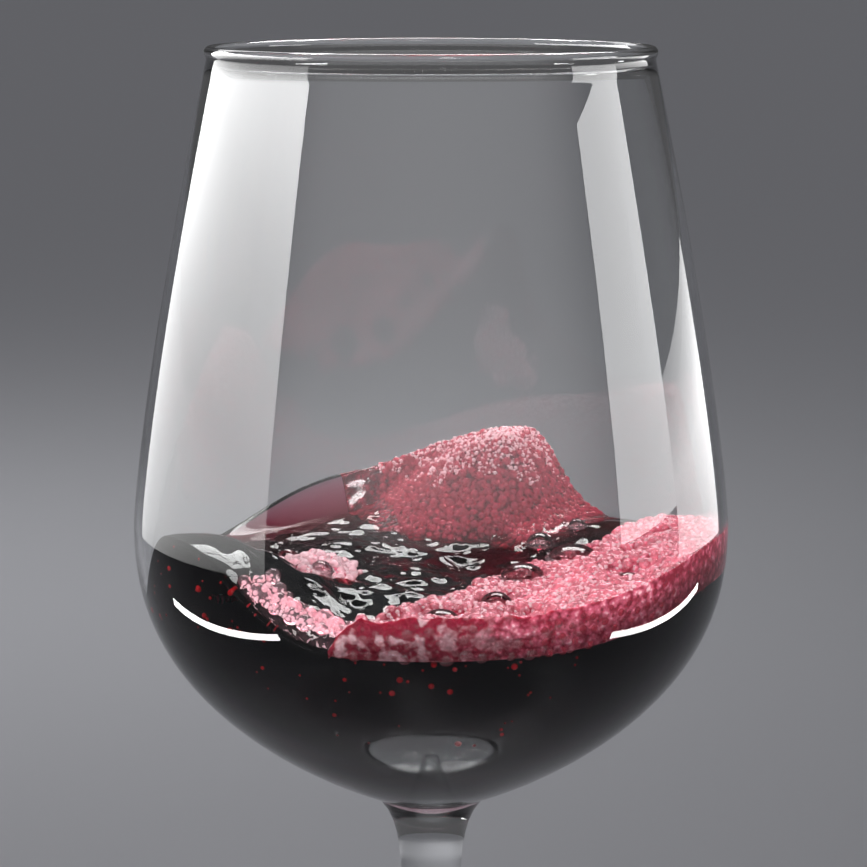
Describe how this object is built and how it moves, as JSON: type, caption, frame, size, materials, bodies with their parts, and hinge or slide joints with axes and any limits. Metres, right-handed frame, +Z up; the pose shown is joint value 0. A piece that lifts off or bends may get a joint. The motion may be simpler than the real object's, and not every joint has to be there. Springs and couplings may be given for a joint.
{
  "type": "glass of red wine",
  "caption": "Large stemmed glass part full of red wine that swirls up the wall, with pink froth and clear bubbles on it.",
  "frame": {"origin": "middle of the foot, on the surface that the glass stands on", "axes": "+Z up the stem to the rim, -Y towards the front of the picture, +X to its right"},
  "size_m": [0.092, 0.092, 0.23],
  "materials": {
    "clear_glass": "clear, fire-polished, thin",
    "red_wine": "wet, clear dark red liquid, almost black where deep",
    "pink_froth": "wet froth of fine bubbles",
    "wine_bubbles": "wet clear bubbles over dark wine"
  },
  "bodies": {
    "root": {"glass": "clear_glass", "wine": "red_wine", "froth_raft": "pink_froth", "froth_cap": "pink_froth", "bubble_cluster": "wine_bubbles"}
  },
  "joints": []
}
